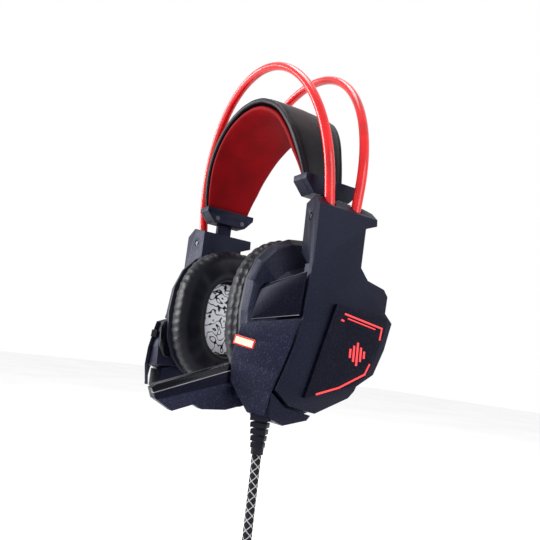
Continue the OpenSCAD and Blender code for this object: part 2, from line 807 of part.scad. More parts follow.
boom_mid_x = mic_out_x - boom_t + 3;
module mic_boom_shell() {
    color(black) difference() {
        union() {
            side_slab(boom_outline, boom_mid_x + slack, mic_out_x);
            x_cylinder(boom_mid_x + slack, mic_out_x, mic_y, mic_z, boom_root_r);
        }
        x_cylinder(mic_out_x - boom_t - 1, mic_out_x + 1, mic_y, mic_z, mic_pin_r + running_gap);
        block([boom_mid_x - 1, -88, -54], [mic_out_x - 1.4, -56, -47.5]);
    }
}
module mic_boom_cover() {
    color(black) difference() {
        union() {
            side_slab(boom_outline, mic_out_x - boom_t, boom_mid_x);
            x_cylinder(mic_out_x - boom_t, boom_mid_x, mic_y, mic_z, boom_root_r);
        }
        x_cylinder(mic_out_x - boom_t - 1, mic_out_x + 1, mic_y, mic_z, mic_pin_r + running_gap);
        for (k = [0:2]) x_cylinder(mic_out_x - boom_t - 1, boom_mid_x + 1, -84, -54.5 + 2.4 * k, 0.7);
    }
}
module mic_capsule() {
    color(steel) x_cylinder(boom_mid_x + slack, mic_out_x - 1.6, -83, -50.8, 2.9);
}
module mic_pivot_pin() {
    color(steel) {
        x_cylinder(mic_out_x - boom_t - 0.9, mic_pin_end_x, mic_y, mic_z, mic_pin_r);
        x_cylinder(mic_out_x - boom_t - 0.9, mic_out_x - boom_t - 0.1, mic_y, mic_z, 4.2);
    }
}

// ---------------------------------------------------------------- cable

rib_count = 5;
module strain_relief() {
    color(black) translate([relief_pos[0], relief_pos[1], 0]) {
        translate([0, 0, relief_end_z]) cylinder(
            h = relief_top_z - relief_end_z - slack, r = cable_d / 2 + 0.8, $fn = 32);
        for (i = [0:rib_count - 1])
            let (half = 4.7 - 0.35 * i, z = relief_top_z - slack - 2.4 - 3.4 * i)
            rotate([0, 0, 45]) block([-half, -half, z], [half, half, z + 2.4]);
    }
}
cable_sides = 10;
// A level ring of the cable's tube around a point of its route
function route_dir(route, i) = unit(route[min(i + 1, len(route) - 1)] - route[max(i - 1, 0)]);
function cable_ring(p, d) =
    let (n = [1, 0, 0], b = cross(d, n))
    [for (k = [0:cable_sides - 1])
        p + cable_d / 2 * (n * cos(360 * k / cable_sides) + b * sin(360 * k / cable_sides))];
module cable_tube(route) {
    skin([for (i = [0:len(route) - 1])
        cable_ring(route[i], i == 0 ? unit(route[1] - route[0]) : route_dir(route, i))]);
}
module cable_lead() { color(black_soft) cable_tube(lead_route); }

coil_half_w = (coil_rows + 1) * cable_d / 2;
coil_half_r = coil_layers * cable_d / 2;
module cable_coil() {
    color(black_soft) translate([coil_x, coil_y, coil_z]) rotate([0, 90, 0])
        rotate_extrude($fn = 72) translate([coil_d / 2 - coil_half_r, -coil_half_w])
            square([2 * coil_half_r, 2 * coil_half_w]);
}
tail_x = relief_pos[0] - cable_d + 0.2;
tail_end_z = coil_z - coil_d / 2 - coil_half_r - tail_drop;
module cable_tail() {
    color(black_soft) translate([tail_x, coil_y, tail_end_z])
        cylinder(h = coil_d / 2 + coil_half_r + tail_drop, r = cable_d / 2, $fn = 32);
}
tie_angle = 55;
module cable_tie() {
    r_mid = coil_d / 2;
    color(black) translate([coil_x, coil_y, coil_z]) rotate([tie_angle, 0, 0])
        translate([0, r_mid, 0]) difference() {
            cube([2 * coil_half_w + 3, 2 * coil_half_r + 3, 8], center = true);
            cube([2 * coil_half_w + 0.4, 2 * coil_half_r + 1.6, 10], center = true);
        }
}
plug_len = 24;
module usb_plug_body() {
    color(black) translate([tail_x, coil_y, tail_end_z]) {
        translate([-4, -7.5, -plug_len]) cube([8, 15, plug_len - 5]);
        translate([0, 0, -5.1]) cylinder(h = 5.1, r = 3.6, $fn = 32);
    }
}
module usb_plug_shell() {
    color(steel) translate([tail_x, coil_y, tail_end_z - plug_len - slack]) difference() {
        translate([-2.25, -6, -12]) cube([4.5, 12, 12]);
        translate([-1.95, -5.7, -13]) cube([3.9, 11.4, 11]);
    }
}

// ---------------------------------------------------------------- output

front_wire_sheath();
rear_wire_sheath();
front_wire_core();
rear_wire_core();
crossover_lead();
left_yoke_shell();
right_yoke_shell();
left_yoke_cover();
right_yoke_cover();
left_side_panel();
right_side_panel();
left_accent_lights();
right_accent_lights();
left_emblem_light();
right_emblem_light();
left_panel_board();
right_panel_board();
yoke_screws();
cup_tilt_pins();
headband_skin();
headband_pad();
left_clamp_inner();
right_clamp_inner();
left_clamp_outer();
right_clamp_outer();
clamp_screws();
return_elastics();
left_cup_housing();
right_cup_housing();
left_baffle();
right_baffle();
left_driver();
right_driver();
left_driver_cloth();
right_driver_cloth();
left_ear_cushion();
right_ear_cushion();
left_upper_plate();
right_upper_plate();
left_lower_plate();
right_lower_plate();
left_light_window();
right_light_window();
left_light_board();
right_light_board();
left_baffle_screws();
right_baffle_screws();
right_front_inlay();
mic_pivot_pin();
mic_boom_shell();
mic_boom_cover();
mic_capsule();
strain_relief();
cable_lead();
cable_coil();
cable_tail();
cable_tie();
usb_plug_body();
usb_plug_shell();
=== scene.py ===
"""Looks of the gaming headset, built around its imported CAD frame. Metres."""

import json
import math
import random

import bmesh
import bpy
from mathutils import Matrix, Vector, noise


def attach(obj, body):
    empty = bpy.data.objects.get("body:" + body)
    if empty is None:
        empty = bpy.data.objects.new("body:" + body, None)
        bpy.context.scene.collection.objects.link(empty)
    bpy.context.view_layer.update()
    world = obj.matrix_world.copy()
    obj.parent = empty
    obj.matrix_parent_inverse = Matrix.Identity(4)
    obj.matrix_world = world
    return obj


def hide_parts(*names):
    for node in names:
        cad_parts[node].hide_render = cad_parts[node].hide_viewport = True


MM = 0.001

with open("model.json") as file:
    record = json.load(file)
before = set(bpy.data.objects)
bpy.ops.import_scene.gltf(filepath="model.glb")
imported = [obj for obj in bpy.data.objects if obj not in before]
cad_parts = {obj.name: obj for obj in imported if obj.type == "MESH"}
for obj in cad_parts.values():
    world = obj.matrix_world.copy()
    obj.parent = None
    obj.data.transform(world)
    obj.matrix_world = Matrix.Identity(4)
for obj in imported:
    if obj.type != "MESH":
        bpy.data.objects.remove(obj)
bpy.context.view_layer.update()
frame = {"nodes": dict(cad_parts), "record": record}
BODY_OF = {
    node: body
    for body, nodes in frame["record"]["behaviour"]["bodies"].items()
    for node in nodes
}
SLOT_OF = {s["node"]: s["material_slot"] for s in frame["record"]["subparts"]}


# ---------------------------------------------------------------- camera

AZIMUTH = math.radians(58.1)
RISE = math.radians(-8.76)
ROLL = math.radians(6.83)
CAMERA_AT = Vector((0.3316, -0.2065, -0.0286))
LENS = 38
SENSOR_WIDTH = 36
SHIFT_X = 0.0142


def add_camera():
    """The photograph's viewpoint: at ear height, looking slightly up, and leaning a little."""
    ahead = Vector(
        (
            -math.sin(AZIMUTH) * math.cos(RISE),
            math.cos(AZIMUTH) * math.cos(RISE),
            -math.sin(RISE),
        )
    )
    level = Vector((math.cos(AZIMUTH), math.sin(AZIMUTH), 0))
    upright = level.cross(ahead)
    right = level * math.cos(ROLL) + upright * math.sin(ROLL)
    up = upright * math.cos(ROLL) - level * math.sin(ROLL)
    data = bpy.data.cameras.new("camera")
    data.lens = LENS
    data.sensor_width = SENSOR_WIDTH
    data.shift_x = SHIFT_X
    data.clip_start = 0.01
    camera = bpy.data.objects.new("camera", data)
    bpy.context.scene.collection.objects.link(camera)
    camera.matrix_world = Matrix(
        (
            (right.x, up.x, -ahead.x, CAMERA_AT.x),
            (right.y, up.y, -ahead.y, CAMERA_AT.y),
            (right.z, up.z, -ahead.z, CAMERA_AT.z),
            (0, 0, 0, 1),
        )
    )
    bpy.context.scene.camera = camera


add_camera()


# ---------------------------------------------------------------- materials

# How a moulded surface varies: patch scale, shades of its colour, flecks, and roughness
PATCH_SCALE = 55
DARKER, LIGHTER = 0.8, 1.25
FLECK_FROM, FLECK_TO = 0.55, 0.75
LEAST_ROUGH, ROUGH_SPREAD = 0.87, 0.25

# The cord's braid: the chain's pitch in metres, its strands, and the threads in one pitch
CHAIN_PITCH = 0.0048
CHAIN_STRANDS = 3
THREADS_PER_PITCH = 7.0


def colour(r, g, b, scale=1.0):
    return (r * scale, g * scale, b * scale, 1)


def new_material(name, **values):
    """A material and its shader, with the given values on the shader's own sockets."""
    material = bpy.data.materials.new(name)
    material.use_nodes = True
    shader = material.node_tree.nodes["Principled BSDF"]
    for socket, value in values.items():
        shader.inputs[socket.replace("_", " ")].default_value = value
    return material, shader


def math_node(material, operation, a, b=None):
    """A math node on two inputs, each a socket or a number."""
    node = material.node_tree.nodes.new("ShaderNodeMath")
    node.operation = operation
    for place, value in enumerate((a, b)):
        if value is None:
            continue
        if isinstance(value, (int, float)):
            node.inputs[place].default_value = value
        else:
            material.node_tree.links.new(value, node.inputs[place])
    return node.outputs[0]


def texture_of(material, kind, scale, **values):
    """A texture in the object's own coordinates."""
    nodes, links = material.node_tree.nodes, material.node_tree.links
    place = nodes.new("ShaderNodeTexCoord")
    texture = nodes.new(kind)
    texture.inputs["Scale"].default_value = scale
    for socket, value in values.items():
        texture.inputs[socket].default_value = value
    links.new(place.outputs["Object"], texture.inputs["Vector"])
    return texture


def ramp_between(material, socket, low, high, start=0.3, end=0.7):
    """Colours between low and high where the socket runs from start to end."""
    nodes, links = material.node_tree.nodes, material.node_tree.links
    ramp = nodes.new("ShaderNodeValToRGB")
    ramp.color_ramp.elements[0].color = low
    ramp.color_ramp.elements[0].position = start
    ramp.color_ramp.elements[1].color = high
    ramp.color_ramp.elements[1].position = end
    links.new(socket, ramp.inputs["Fac"])
    return ramp.outputs["Color"]


def add_bump(material, shader, socket, strength, depth, below=None):
    """A bump on the shader, laid over another one where that is given."""
    nodes, links = material.node_tree.nodes, material.node_tree.links
    bump = nodes.new("ShaderNodeBump")
    bump.inputs["Strength"].default_value = strength
    bump.inputs["Distance"].default_value = depth * MM
    links.new(socket, bump.inputs["Height"])
    if below is not None:
        links.new(below, bump.inputs["Normal"])
    links.new(bump.outputs["Normal"], shader.inputs["Normal"])


def grained(
    name, base, roughness, specular=0.25, grain=1300, depth=0.06, speckle=0.0, **values
):
    """A moulded or grained surface: colour and roughness vary a little, with a fine bump."""
    material, shader = new_material(
        name, Roughness=roughness, Specular_IOR_Level=specular, **values
    )
    links = material.node_tree.links
    broad = texture_of(material, "ShaderNodeTexNoise", PATCH_SCALE, Detail=4)
    fine = texture_of(material, "ShaderNodeTexNoise", grain, Detail=2)
    r, g, b, _ = base
    shade = ramp_between(
        material, broad.outputs["Fac"], colour(r, g, b, DARKER), colour(r, g, b, LIGHTER)
    )
    if speckle:
        fleck = ramp_between(
            material,
            fine.outputs["Fac"],
            colour(0, 0, 0),
            colour(r * speckle, g * speckle, b * speckle),
            FLECK_FROM,
            FLECK_TO,
        )
        mix = material.node_tree.nodes.new("ShaderNodeMix")
        mix.data_type = "RGBA"
        mix.blend_type = "ADD"
        mix.inputs["Factor"].default_value = 1.0
        links.new(shade, mix.inputs["A"])
        links.new(fleck, mix.inputs["B"])
        shade = mix.outputs["Result"]
    links.new(shade, shader.inputs["Base Color"])
    wear = math_node(
        material, "MULTIPLY", broad.outputs["Fac"], ROUGH_SPREAD * roughness
    )
    links.new(
        math_node(material, "ADD", wear, LEAST_ROUGH * roughness),
        shader.inputs["Roughness"],
    )
    add_bump(material, shader, fine.outputs["Fac"], 0.8, depth)
    return material


def leather(name, base, roughness, specular=0.35):
    """Leatherette: a net of fine creases over a faint pebble."""
    material = grained(name, base, roughness, specular, 500, 0.05)
    shader = material.node_tree.nodes["Principled BSDF"]
    creases = texture_of(material, "ShaderNodeTexVoronoi", 750)
    creases.feature = "DISTANCE_TO_EDGE"
    below = shader.inputs["Normal"].links[0].from_socket
    edge = math_node(material, "MINIMUM", creases.outputs["Distance"], 0.12)
    add_bump(material, shader, edge, 0.7, 0.35, below)
    return material


def braid(name):
    """A black braid with a chain of white threads, laid along the cord's own length."""
    material, shader = new_material(name, Roughness=0.75, Specular_IOR_Level=0.2)
    nodes, links = material.node_tree.nodes, material.node_tree.links
    place = nodes.new("ShaderNodeUVMap")
    place.uv_map = "along"
    split = nodes.new("ShaderNodeSeparateXYZ")
    links.new(place.outputs["UV"], split.inputs["Vector"])
    along = math_node(
        material, "MULTIPLY", split.outputs["X"], 2 * math.pi / CHAIN_PITCH
    )
    around = math_node(
        material, "MULTIPLY", split.outputs["Y"], 2 * math.pi * CHAIN_STRANDS
    )
    strands = [
        math_node(material, "SINE", math_node(material, way, along, around))
        for way in ("ADD", "SUBTRACT")
    ]
    chain = math_node(material, "MAXIMUM", *strands)
    links.new(
        ramp_between(
            material, chain, colour(0.004, 0.004, 0.006), colour(0.4, 0.4, 0.42), 0.9, 0.96
        ),
        shader.inputs["Base Color"],
    )
    threads = math_node(
        material, "SINE", math_node(material, "MULTIPLY", along, THREADS_PER_PITCH)
    )
    add_bump(
        material, shader, math_node(material, "ADD", chain, threads), 0.6, 0.12
    )
    return material


def printed_cloth(name):
    """White cloth over the loudspeaker, printed with black wavy lines."""
    material, shader = new_material(name, Roughness=0.85, Specular_IOR_Level=0.2)
    nodes, links = material.node_tree.nodes, material.node_tree.links
    place = nodes.new("ShaderNodeTexCoord")
    waves = nodes.new("ShaderNodeTexWave")
    waves.bands_direction = "Z"
    waves.inputs["Scale"].default_value = 42
    waves.inputs["Distortion"].default_value = 14
    waves.inputs["Detail"].default_value = 1
    waves.inputs["Detail Scale"].default_value = 3.5
    links.new(place.outputs["Object"], waves.inputs["Vector"])
    links.new(
        ramp_between(
            material,
            waves.outputs["Fac"],
            colour(0.01, 0.01, 0.015),
            colour(0.8, 0.8, 0.86),
            0.1,
            0.2,
        ),
        shader.inputs["Base Color"],
    )
    weave = texture_of(material, "ShaderNodeTexVoronoi", 1500)
    add_bump(material, shader, weave.outputs["Distance"], 0.5, 0.1)
    return material


def glowing(name, base, glow, strength):
    """A lit diffuser, a little brighter in places."""
    material, shader = new_material(name, Base_Color=base, Roughness=0.35)
    broad = texture_of(material, "ShaderNodeTexNoise", 90)
    r, g, b, _ = glow
    links = material.node_tree.links
    links.new(
        ramp_between(
            material, broad.outputs["Fac"], colour(r, g, b, 0.85), colour(r, g, b)
        ),
        shader.inputs["Emission Color"],
    )
    shader.inputs["Emission Strength"].default_value = strength
    return material


NAVY = colour(0.002, 0.0022, 0.0065)
NAVY_LIT = colour(0.0055, 0.006, 0.014)
SOOT = colour(0.0015, 0.0015, 0.004)
# The light grey of painted highlights on bright edge lines
SHEEN = colour(0.16, 0.16, 0.19)
BLUE_SHEEN = colour(0.6, 0.64, 1)


def make_materials():
    table = {
        "shell_black": grained(
            "shell_black", NAVY, 0.42, 0.17, 1400, 0.22, 5.0, Specular_Tint=BLUE_SHEEN
        ),
        "panel_black": grained(
            "panel_black", SOOT, 0.4, 0.1, 1500, 0.16, 7.0, Specular_Tint=BLUE_SHEEN
        ),
        "textured_black": grained(
            "textured_black", NAVY_LIT, 0.5, 0.2, 1100, 0.35, 4.0, Specular_Tint=BLUE_SHEEN
        ),
        "baffle_grey": grained("baffle_grey", NAVY_LIT, 0.45),
        "inlay_black": grained("inlay_black", SOOT, 0.15, 0.3),
        "gloss_black": grained("gloss_black", SOOT, 0.22, 0.1),
        # Painted highlight: the lighter strip on bright edges
        "painted_edge_highlight": grained("painted_edge_highlight", SHEEN, 0.35, 0.4),
        "rubber_black": grained("rubber_black", NAVY, 0.55, 0.16, 1400, 0.06),
        "elastic_black": grained("elastic_black", SOOT, 0.8),
        "lead_black": grained("lead_black", SOOT, 0.6),
        "board_green": grained("board_green", colour(0.01, 0.08, 0.03), 0.4),
        "skin_black": leather("skin_black", colour(0.002, 0.002, 0.005), 0.42, 0.14),
        "cushion_black": leather("cushion_black", colour(0.0018, 0.002, 0.006), 0.36, 0.16),
        "pad_red": leather("pad_red", colour(0.15, 0.001, 0.003), 0.6, 0.05),
        "braid_black": braid("braid_black"),
        "cloth_white": printed_cloth("cloth_white"),
        "wire_red": grained(
            "wire_red",
            colour(0.52, 0.002, 0.004),
            0.24,
            0.3,
            200,
            0.01,
            Coat_Weight=0.2,
            Coat_Roughness=0.08,
        ),
        "light_red": glowing("light_red", colour(0.5, 0.02, 0.02), colour(1, 0.05, 0.06), 1.0),
        "window_cream": glowing(
            "window_cream", colour(0.3, 0.25, 0.2), colour(1, 0.86, 0.58), 0.9
        ),
        "window_red": glowing(
            "window_red", colour(0.5, 0.002, 0.004), colour(0.8, 0.002, 0.006), 0.35
        ),
    }
    for name, base, roughness in (
        ("spring_steel", colour(0.4, 0.4, 0.42), 0.35),
        ("screw_steel", colour(0.035, 0.035, 0.045), 0.4),
        ("driver_metal", colour(0.5, 0.5, 0.52), 0.35),
        ("plug_metal", colour(0.7, 0.7, 0.72), 0.18),
    ):
        table[name] = grained(name, base, roughness, Metallic=1.0)
    return table


MATERIALS = make_materials()
for node, piece in frame["nodes"].items():
    piece.data.materials.clear()
    piece.data.materials.append(MATERIALS[SLOT_OF[node]])


# ---------------------------------------------------------------- mesh helpers

# Points closer than this are one, and faces flatter than this are one
MERGE = 0.01 * MM
FLAT = math.radians(1.5)

# Which edges get a painted highlight strip: how steep, how short and how blunt they may be, and
# the strip's width
SHINE_STEEPEST = 0.6
SHINE_SHORTEST = 10.0
SHINE_BLUNTEST = math.radians(40)
SHINE_WIDTH = 0.35


def add_object(name, mesh, *slots):
    piece = bpy.data.objects.new(name, mesh)
    bpy.context.scene.collection.objects.link(piece)
    for slot in slots:
        mesh.materials.append(MATERIALS[slot])
    return piece


def smooth_mesh(mesh):
    for polygon in mesh.polygons:
        polygon.use_smooth = True


def rings_mesh(name, rings, closed_length=False):
    """A skin of quads over rings of points, each ring closed round itself."""
    count, sides = len(rings), len(rings[0])
    faces = []
    for i in range(count if closed_length else count - 1):
        j = (i + 1) % count
        for k in range(sides):
            m = (k + 1) % sides
            faces.append((i * sides + k, j * sides + k, j * sides + m, i * sides + m))
    if not closed_length:
        faces.append(tuple(range(sides)))
        faces.append(tuple((count - 1) * sides + k for k in reversed(range(sides))))
    mesh = bpy.data.meshes.new(name)
    mesh.from_pydata([tuple(p) for ring in rings for p in ring], [], faces)
    build = bmesh.new()
    build.from_mesh(mesh)
    bmesh.ops.recalc_face_normals(build, faces=build.faces)
    build.to_mesh(mesh)
    build.free()
    smooth_mesh(mesh)
    return mesh


def apply_modifiers(piece):
    """The piece's mesh with its modifiers worked in."""
    graph = bpy.context.evaluated_depsgraph_get()
    mesh = bpy.data.meshes.new_from_object(piece.evaluated_get(graph))
    piece.modifiers.clear()
    old = piece.data
    piece.data = mesh
    bpy.data.meshes.remove(old)


def stand_for(piece, *nodes):
    """The piece is shown in place of these CAD nodes, and moves with them."""
    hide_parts(*nodes)
    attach(piece, BODY_OF[nodes[0]])


def clean_copy(node):
    """A CAD node's shape with its flat faces merged."""
    build = bmesh.new()
    build.from_mesh(frame["nodes"][node].data)
    bmesh.ops.remove_doubles(build, verts=build.verts, dist=MERGE)
    bmesh.ops.dissolve_limit(
        build, angle_limit=FLAT, verts=build.verts, edges=build.edges
    )
    return build


def round_edges(piece, width, angle=24):
    """Rounds every edge sharper than angle."""
    bevel = piece.modifiers.new("edges", "BEVEL")
    bevel.width = width * MM
    bevel.segments = 2
    bevel.limit_method = "ANGLE"
    bevel.angle_limit = math.radians(angle)
    bevel.use_clamp_overlap = True
    bevel.harden_normals = True


def shine_edges(piece):
    """Chamfers the long level edges with a lighter strip: a painted highlight."""
    build = bmesh.new()
    build.from_mesh(piece.data)
    weight = build.edges.layers.float.new("bevel_weight_edge")
    for edge in build.edges:
        along = edge.verts[1].co - edge.verts[0].co
        level = abs(along.z) < SHINE_STEEPEST * along.length
        sharp = len(edge.link_faces) == 2 and edge.calc_face_angle() > SHINE_BLUNTEST
        if level and sharp and along.length > SHINE_SHORTEST * MM:
            edge[weight] = 1.0
    build.to_mesh(piece.data)
    build.free()
    # The chamfer takes the painted highlight colour
    piece.data.materials.append(MATERIALS["painted_edge_highlight"])
    bevel = piece.modifiers.new("sheen", "BEVEL")
    bevel.width = SHINE_WIDTH * MM
    bevel.segments = 1
    bevel.limit_method = "WEIGHT"
    bevel.material = len(piece.data.materials) - 1


def rounded_copy(node, width=0.5, angle=24, sheen=False):
    """A copy of a CAD node with its edges rounded."""
    build = clean_copy(node)
    mesh = bpy.data.meshes.new(node + "_look")
    build.to_mesh(mesh)
    build.free()
    smooth_mesh(mesh)
    piece = add_object(node + "_look", mesh, SLOT_OF[node])
    if sheen:
        shine_edges(piece)
    round_edges(piece, width, angle)
    stand_for(piece, node)
    return piece


def superellipse(step, steps, power):
    """A point on a rounded rectangle from -1 to 1 in both directions."""
    a = 2 * math.pi * step / steps
    c, s = math.cos(a), math.sin(a)
    return (
        math.copysign(abs(c) ** (2 / power), c),
        math.copysign(abs(s) ** (2 / power), s),
    )


# ---------------------------------------------------------------- wires

FOOT = Vector((80, 10.3, 66))
LEG = 11
SOCKET = 14.7
SPLAY = math.radians(6.6)
LEG_STEPS = 6
WIRE_STEPS = 120
WIRE_SIDES = 20
WIRE_HALF_OUT = 2.7
WIRE_HALF_ACROSS = 3.3


def wire_ring(i, side, rise):
    """One ring of a wire's skin: a straight leg at each end, and half an ellipse between."""
    a = math.pi * (i - LEG_STEPS) / (WIRE_STEPS - 2 * LEG_STEPS)
    if i < LEG_STEPS or i > WIRE_STEPS - LEG_STEPS:
        way = 1 if i < LEG_STEPS else -1
        part = min(i, WIRE_STEPS - i) / LEG_STEPS
        at, out = (way * FOOT.x, -SOCKET + (LEG + SOCKET) * part), (way, 0)
    else:
        at = (FOOT.x * math.cos(a), LEG + (rise - LEG) * math.sin(a))
        out = (math.cos(a) / FOOT.x, math.sin(a) / (rise - LEG))
        size = math.hypot(*out)
        out = (out[0] / size, out[1] / size)
    centre = Vector(
        (
            at[0],
            side * (FOOT.y + at[1] * math.sin(SPLAY)),
            FOOT.z + at[1] * math.cos(SPLAY),
        )
    )
    outward = Vector((out[0], side * out[1] * math.sin(SPLAY), out[1] * math.cos(SPLAY)))
    across = Vector((0, math.cos(SPLAY), -side * math.sin(SPLAY)))
    ring = []
    for k in range(WIRE_SIDES):
        b = 2 * math.pi * k / WIRE_SIDES
        at_out = outward * WIRE_HALF_OUT * math.cos(b)
        at_across = across * WIRE_HALF_ACROSS * math.sin(b)
        ring.append((centre + at_out + at_across) * MM)
    return ring


def add_wires():
    for node, side, rise in (
        ("front_wire_sheath", -1, 105),
        ("rear_wire_sheath", 1, 112),
    ):
        rings = [wire_ring(i, side, rise) for i in range(WIRE_STEPS + 1)]
        piece = add_object(node + "_look", rings_mesh(node, rings), "wire_red")
        stand_for(piece, node)


add_wires()


# ---------------------------------------------------------------- headband

BAND_X = 65
BAND_BASE = 78
BAND_RISE = 69
BAND_STEPS = 150
BAND_SIDES = 56
BAND_START, BAND_SWEEP = 0.8, 178.4
HELD_END = 0.06
FRONT_END_Y, FRONT_FLARE = -19, 9
REAR_LEFT_Y, REAR_RIGHT_Y, REAR_MID_Y = 10.5, 17.5, 28
FLARE_POWER = 2.2
END_THICKNESS, THICKENING = 0.55, 1.6
CROWN = 0.5
BAND_SEAM_HALF, BAND_SEAM_DEPTH = 1.1, 0.7
FOLD_HEIGHT = 0.5
FOLD_ALONG, FOLD_ACROSS = 0.09, 0.05


def band_ring(i, top, low, edge, power, seam):
    """One ring round the suspended band, from depth top to depth low under its outer skin."""
    a = math.radians(BAND_START + BAND_SWEEP * i / BAND_STEPS)
    free = max(0.0, math.sin(a) - HELD_END)
    front = FRONT_END_Y - FRONT_FLARE * (1 - (1 - free) ** FLARE_POWER) + edge
    left = a < math.pi / 2
    rear_end, power_here = (REAR_LEFT_Y, FLARE_POWER) if left else (REAR_RIGHT_Y, 1)
    rear = rear_end + (REAR_MID_Y - rear_end) * math.sin(a) ** power_here - edge
    thin = min(1, END_THICKNESS + THICKENING * free)
    at = Vector((BAND_X * math.cos(a), 0, BAND_BASE + BAND_RISE * math.sin(a)))
    out = Vector((math.cos(a) / BAND_X, 0, math.sin(a) / BAND_RISE)).normalized()
    ring = []
    for k in range(BAND_SIDES):
        u, v = superellipse(k, BAND_SIDES, power)
        y = (front + rear) / 2 + u * (rear - front) / 2
        depth = thin * ((top + low) / 2 - v * (low - top) / 2)
        crown = CROWN * (1 - u * u) * (1 if v > 0 else -1)
        inward = min(y - front, rear - y)
        if seam and abs(inward - seam) < BAND_SEAM_HALF:
            groove = BAND_SEAM_DEPTH * (1 - abs(inward - seam) / BAND_SEAM_HALF)
            crown -= math.copysign(groove, v)
        spot = Vector((y * FOLD_ACROSS, at.z * FOLD_ALONG, at.x * FOLD_ALONG))
        fold = noise.noise(spot) * FOLD_HEIGHT
        ring.append((at + out * (crown * thin + fold * free - depth) + Vector((0, y, 0))) * MM)
    return ring


def add_headband():
    for node, top, low, edge, power, seam in (
        ("headband_skin", 0.4, 4.9, 0, 5.0, 2.6),
        ("headband_pad", 5.2, 9.6, 1.2, 4.0, 0),
    ):
        rings = [band_ring(i, top, low, edge, power, seam) for i in range(BAND_STEPS + 1)]
        piece = add_object(node + "_look", rings_mesh(node, rings), SLOT_OF[node])
        stand_for(piece, node)


add_headband()


# ---------------------------------------------------------------- ear cushions

EAR_HOLE = (20, 27)
CUSHION_RIM = (45, 51)
CUSHION_FACE_X = 27.5
CUSHION_BACK_X = 49.4
CUP_MID_Z = -3
CUSHION_STEPS = 72
CUSHION_SIDES = 30
OUTLINE_POWER = 2.4
SECTION_POWER = 2.7
SECTION_FILL = 0.93

VOXEL = 3.2 * MM
PRESSURE = 4.0
TENSION = 12
CLOTH_FRAMES = 20
MOST_MOVE = 1.2 * MM

PLEATS = 54
PLEAT_SHIFT = 0.4
RIM_FROM, RIM_WIDTH = 0.78, 0.22
GATHER = 0.55
SEAM_X, SEAM_WIDTH, SEAM_DEPTH = 43.0, 1.3, 1.5
FACE_FOLD = 1.2
FACE_MIDDLE, FACE_REACH = 0.72, 0.3
FACE_SET_BACK = 0.3


def cushion_ring(i):
    c, s = superellipse(i, CUSHION_STEPS, OUTLINE_POWER)
    ring = []
    for k in range(CUSHION_SIDES):
        u, v = superellipse(k, CUSHION_SIDES, SECTION_POWER)
        out, deep = (1 + u * SECTION_FILL) / 2, (1 + v * SECTION_FILL) / 2
        ring.append(
            Vector(
                (
                    CUSHION_BACK_X - (CUSHION_BACK_X - CUSHION_FACE_X) * deep,
                    c * (EAR_HOLE[0] + (CUSHION_RIM[0] - EAR_HOLE[0]) * out),
                    CUP_MID_Z + s * (EAR_HOLE[1] + (CUSHION_RIM[1] - EAR_HOLE[1]) * out),
                )
            )
            * MM
        )
    return ring


def puff(piece):
    """An even mesh, settled as cloth, which moves its points by at most 1.2 mm."""
    remesh = piece.modifiers.new("voxels", "REMESH")
    remesh.mode = "VOXEL"
    remesh.voxel_size = VOXEL
    apply_modifiers(piece)
    start = [v.co.copy() for v in piece.data.vertices]
    cloth = piece.modifiers.new("cloth", "CLOTH")
    cloth.settings.use_pressure = True
    cloth.settings.uniform_pressure_force = PRESSURE
    cloth.settings.tension_stiffness = TENSION
    cloth.settings.effector_weights.gravity = 0
    cloth.point_cache.frame_start = 1
    cloth.point_cache.frame_end = CLOTH_FRAMES
    for step in range(1, CLOTH_FRAMES + 1):
        bpy.context.scene.frame_set(step)
    apply_modifiers(piece)
    for vertex, was in zip(piece.data.vertices, start):
        move = vertex.co - was
        if move.length > MOST_MOVE:
            vertex.co = was + move.normalized() * MOST_MOVE
    bpy.context.scene.frame_set(1)


def crease(piece, side, seed):
    """Gathers along the rim, folds over the face, and a seam all round the outer edge."""
    rng = random.Random(seed)
    shifts = [rng.uniform(-PLEAT_SHIFT, PLEAT_SHIFT) for _ in range(PLEATS + 1)]
    for vertex in piece.data.vertices:
        p = vertex.co / MM
        x = p.x * side
        y, z = p.y / CUSHION_RIM[0], (p.z - CUP_MID_Z) / CUSHION_RIM[1]
        out = (abs(y) ** OUTLINE_POWER + abs(z) ** OUTLINE_POWER) ** (1 / OUTLINE_POWER)
        turn = (math.atan2(z, y) / (2 * math.pi)) % 1.0 * PLEATS
        shift = shifts[int(turn)]
        pleat = math.cos(2 * math.pi * turn) * 0.75 + 0.25 * shift
        rim = max(0.0, (out - RIM_FROM) / RIM_WIDTH)
        gather = GATHER * rim * (1 + pleat * 0.9)
        seam = math.exp(-(((x - SEAM_X) / SEAM_WIDTH) ** 2)) * rim * SEAM_DEPTH
        fold = noise.noise(Vector((turn * 0.6, x * 0.06, seed))) * FACE_FOLD
        inner = max(0.0, 1 - abs(out - FACE_MIDDLE) / FACE_REACH)
        outward = Vector((0, y, z)).normalized()
        set_back = Vector((side, 0, 0)) * (fold * inner + FACE_SET_BACK)
        shove = outward * (-gather - seam) + set_back
        vertex.co = vertex.co + shove * MM


def add_cushions():
    for side, name in ((1, "left"), (-1, "right")):
        node = name + "_ear_cushion"
        rings = [
            [Vector((side * p.x, p.y, p.z)) for p in cushion_ring(i)]
            for i in range(CUSHION_STEPS)
        ]
        piece = add_object(node + "_look", rings_mesh(node, rings, True), SLOT_OF[node])
        puff(piece)
        finer = piece.modifiers.new("finer", "SUBSURF")
        finer.levels = finer.render_levels = 1
        apply_modifiers(piece)
        crease(piece, side, 3 + side)
        smooth_mesh(piece.data)
        stand_for(piece, node)


add_cushions()


# ---------------------------------------------------------------- cable

